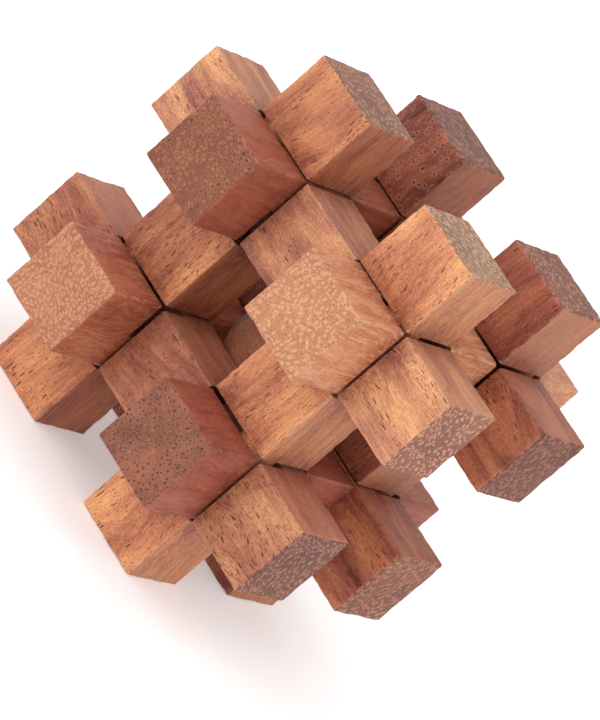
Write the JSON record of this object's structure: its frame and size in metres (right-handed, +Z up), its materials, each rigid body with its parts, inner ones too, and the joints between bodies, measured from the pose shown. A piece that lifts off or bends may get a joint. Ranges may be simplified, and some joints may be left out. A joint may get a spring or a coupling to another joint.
{
  "type": "burr puzzle",
  "caption": "Cube-shaped cage of interlocking notched square hardwood sticks, with four turning key posts and a loose ball shut inside.",
  "frame": {"origin": "centre of the footprint, on the plane that the four lower post ends stand on", "axes": "+Z up along the posts, +X to the right along the crossbars, +Y to the back along the rails"},
  "size_m": [0.072, 0.072, 0.072],
  "materials": {
    "captive_ball_wood": "oiled hardwood, smooth turned brown",
    "crossbar_bottom_back_wood": "oiled hardwood, dark red-brown",
    "crossbar_bottom_front_wood": "oiled hardwood, mottled brown",
    "crossbar_top_back_wood": "oiled hardwood, dark red-brown",
    "crossbar_top_front_wood": "oiled hardwood, golden brown",
    "post_back_left_wood": "oiled hardwood, dark maroon brown",
    "post_back_right_wood": "oiled hardwood, dark red-brown",
    "post_front_left_wood": "oiled hardwood, orange-tan",
    "post_front_right_wood": "oiled hardwood, orange-tan",
    "rail_bottom_left_wood": "oiled hardwood, light tan end grain, mauve sides",
    "rail_bottom_right_wood": "oiled hardwood, dark purplish brown",
    "rail_top_left_wood": "oiled hardwood, pinkish brown",
    "rail_top_right_wood": "oiled hardwood, light tan end grain"
  },
  "bodies": {
    "cage": {"crossbar_bottom_back": "crossbar_bottom_back_wood", "crossbar_bottom_front": "crossbar_bottom_front_wood", "crossbar_top_back": "crossbar_top_back_wood", "crossbar_top_front": "crossbar_top_front_wood", "rail_bottom_left": "rail_bottom_left_wood", "rail_bottom_right": "rail_bottom_right_wood", "rail_top_left": "rail_top_left_wood", "rail_top_right": "rail_top_right_wood"},
    "post_back_left": {"post_back_left": "post_back_left_wood"},
    "post_back_right": {"post_back_right": "post_back_right_wood"},
    "post_front_left": {"post_front_left": "post_front_left_wood"},
    "post_front_right": {"post_front_right": "post_front_right_wood"},
    "ball": {"captive_ball": "captive_ball_wood"}
  },
  "joints": [
    {"name": "post_back_left_turn", "type": "hinge", "parent": "cage", "child": "post_back_left", "pos_m": [-0.01868, 0.01868, 0.036], "axis": [0, 0, 1], "continuous": true},
    {"name": "post_back_right_turn", "type": "hinge", "parent": "cage", "child": "post_back_right", "pos_m": [0.01868, 0.01868, 0.036], "axis": [0, 0, 1], "continuous": true},
    {"name": "post_front_left_turn", "type": "hinge", "parent": "cage", "child": "post_front_left", "pos_m": [-0.01868, -0.01868, 0.036], "axis": [0, 0, 1], "continuous": true},
    {"name": "post_front_right_turn", "type": "hinge", "parent": "cage", "child": "post_front_right", "pos_m": [0.01868, -0.01868, 0.036], "axis": [0, 0, 1], "continuous": true},
    {"name": "ball_rattle", "type": "slide", "parent": "cage", "child": "ball", "axis": [0, 0, 1], "range_m": [0, 0.01058]}
  ]
}
